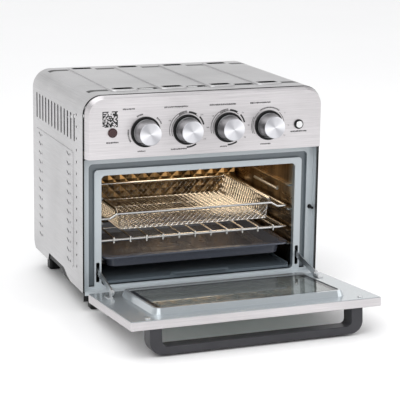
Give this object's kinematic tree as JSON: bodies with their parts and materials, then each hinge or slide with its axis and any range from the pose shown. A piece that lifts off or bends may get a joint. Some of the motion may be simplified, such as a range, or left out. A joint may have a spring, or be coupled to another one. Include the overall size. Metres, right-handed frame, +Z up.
{
  "type": "toaster oven",
  "caption": "Countertop toaster oven with a drop-down glass door, four knobs, wire rack, mesh basket, baking pan and crumb tray.",
  "frame": {"origin": "centre of the footprint box, door open, at the bottom of the feet", "axes": "+X to the right seen from the front, +Y to the back and the longest side with the door open, +Z up"},
  "size_m": [0.4088, 0.5464, 0.3525],
  "materials": {
    "brushed_steel": "fine horizontal brushing",
    "galvanised_steel": "plain sheet",
    "black_steel": "satin black",
    "pale_enamel": "pale blue-grey enamel",
    "chamber_steel": "warm reflective chamber sheet",
    "chrome_wire": "bright plated wire",
    "dark_enamel": "dark blue-grey enamel",
    "non_stick": "dark non-stick coat",
    "black_plastic": "moulded",
    "handle_grey": "dark grey satin",
    "knob_side": "satin grey",
    "knob_face": "spun, radial sheen",
    "glass": "clear",
    "lamp_red": "dark red lens",
    "button_silver": "silver",
    "element_steel": "dark sheath",
    "ceramic": "glazed",
    "lamp_glass": "warm",
    "zinc": "zinc plated",
    "casting": "motor frame"
  },
  "bodies": {
    "oven_body": {"outer_casing": "brushed_steel", "control_fascia": "brushed_steel", "back_panel": "galvanised_steel", "base_pan": "black_steel", "control_plate": "galvanised_steel", "heat_shield": "galvanised_steel", "back_screws": "zinc", "hinge_brackets": "zinc", "hinge_pins": "zinc", "feet": "black_plastic", "dial_rings": "black_plastic", "light_button_bezel": "black_plastic", "micro_switches": "black_plastic", "cord_gland": "black_plastic", "selector_switches": "black_plastic", "timer_bodies": "black_plastic", "front_frame": "pale_enamel", "power_lamp_lens": "lamp_red", "chamber_right_wall": "chamber_steel", "chamber_left_wall": "chamber_steel", "chamber_roof": "chamber_steel", "chamber_floor": "chamber_steel", "chamber_back_wall": "chamber_steel", "fan_guard": "chamber_steel", "heating_elements": "element_steel", "element_terminals": "ceramic", "thermostat_probe": "zinc", "oven_lamp": "lamp_glass", "fan_motor": "casting"},
    "door": {"door_outer_panel": "brushed_steel", "door_inner_panel": "pale_enamel", "door_glass_outer": "glass", "door_glass_inner": "glass", "door_handle": "handle_grey", "door_screws": "zinc", "hinge_knuckles": "zinc", "stay_brackets": "zinc"},
    "stay_left": {"stay_arm_left": "zinc"},
    "stay_right": {"stay_arm_right": "zinc"},
    "wire_rack": {"wire_rack": "chrome_wire"},
    "fry_basket": {"fry_basket_frame": "chrome_wire", "fry_basket_mesh": "chrome_wire"},
    "baking_pan": {"baking_pan": "dark_enamel"},
    "crumb_tray": {"crumb_tray": "non_stick"},
    "light_button": {"light_button": "button_silver"},
    "door_plunger": {"door_switch_plunger": "black_plastic"},
    "fan": {"fan_impeller": "galvanised_steel", "fan_shaft": "zinc"},
    "function_knob": {"function_knob": "knob_side", "function_knob_cap": "knob_face", "function_shaft": "zinc"},
    "temperature_knob": {"temperature_knob": "knob_side", "temperature_knob_cap": "knob_face", "temperature_shaft": "zinc"},
    "oven_timer_knob": {"oven_timer_knob": "knob_side", "oven_timer_knob_cap": "knob_face", "oven_timer_shaft": "zinc"},
    "fry_timer_knob": {"fry_timer_knob": "knob_side", "fry_timer_knob_cap": "knob_face", "fry_timer_shaft": "zinc"}
  },
  "joints": [
    {"name": "door_hinge", "type": "hinge", "parent": "oven_body", "child": "door", "pos_m": [0, -0.0477, 0.023], "axis": [1, 0, 0], "range_deg": [-85, 0]},
    {"name": "stay_left_pivot", "type": "hinge", "parent": "door", "child": "stay_left", "pos_m": [-0.174, -0.0936, 0.0491], "axis": [1, 0, 0], "range_deg": [0, 53]},
    {"name": "stay_right_pivot", "type": "hinge", "parent": "door", "child": "stay_right", "pos_m": [0.174, -0.0936, 0.0491], "axis": [1, 0, 0], "range_deg": [0, 53]},
    {"name": "function_turn", "type": "hinge", "parent": "oven_body", "child": "function_knob", "pos_m": [-0.105, -0.0627, 0.2912], "axis": [0, 1, 0], "range_deg": [0, 240]},
    {"name": "temperature_turn", "type": "hinge", "parent": "oven_body", "child": "temperature_knob", "pos_m": [-0.035, -0.0627, 0.2912], "axis": [0, 1, 0], "range_deg": [0, 270]},
    {"name": "oven_timer_turn", "type": "hinge", "parent": "oven_body", "child": "oven_timer_knob", "pos_m": [0.035, -0.0627, 0.2912], "axis": [0, 1, 0], "range_deg": [0, 300]},
    {"name": "fry_timer_turn", "type": "hinge", "parent": "oven_body", "child": "fry_timer_knob", "pos_m": [0.105, -0.0627, 0.2912], "axis": [0, 1, 0], "range_deg": [0, 300]},
    {"name": "light_button_press", "type": "slide", "parent": "oven_body", "child": "light_button", "axis": [0, 1, 0], "range_m": [0, 0.0025], "stiffness_N_per_m": 400},
    {"name": "door_plunger_press", "type": "slide", "parent": "oven_body", "child": "door_plunger", "axis": [0, 1, 0], "range_m": [0, 0.003], "stiffness_N_per_m": 250},
    {"name": "wire_rack_slide", "type": "slide", "parent": "oven_body", "child": "wire_rack", "axis": [0, -1, 0], "range_m": [0, 0.2]},
    {"name": "fry_basket_slide", "type": "slide", "parent": "oven_body", "child": "fry_basket", "axis": [0, -1, 0], "range_m": [0, 0.2]},
    {"name": "baking_pan_slide", "type": "slide", "parent": "oven_body", "child": "baking_pan", "axis": [0, -1, 0], "range_m": [0, 0.16]},
    {"name": "crumb_tray_slide", "type": "slide", "parent": "oven_body", "child": "crumb_tray", "axis": [0, -1, 0], "range_m": [0, 0.03]},
    {"name": "fan_spin", "type": "hinge", "parent": "oven_body", "child": "fan", "pos_m": [0, 0.1123, 0.233], "axis": [0, 0, 1], "continuous": true}
  ],
  "couplings": [
    {"joint": "stay_left_pivot", "follows": "door_hinge", "ratio": -0.62353},
    {"joint": "stay_right_pivot", "follows": "door_hinge", "ratio": -0.62353}
  ]
}
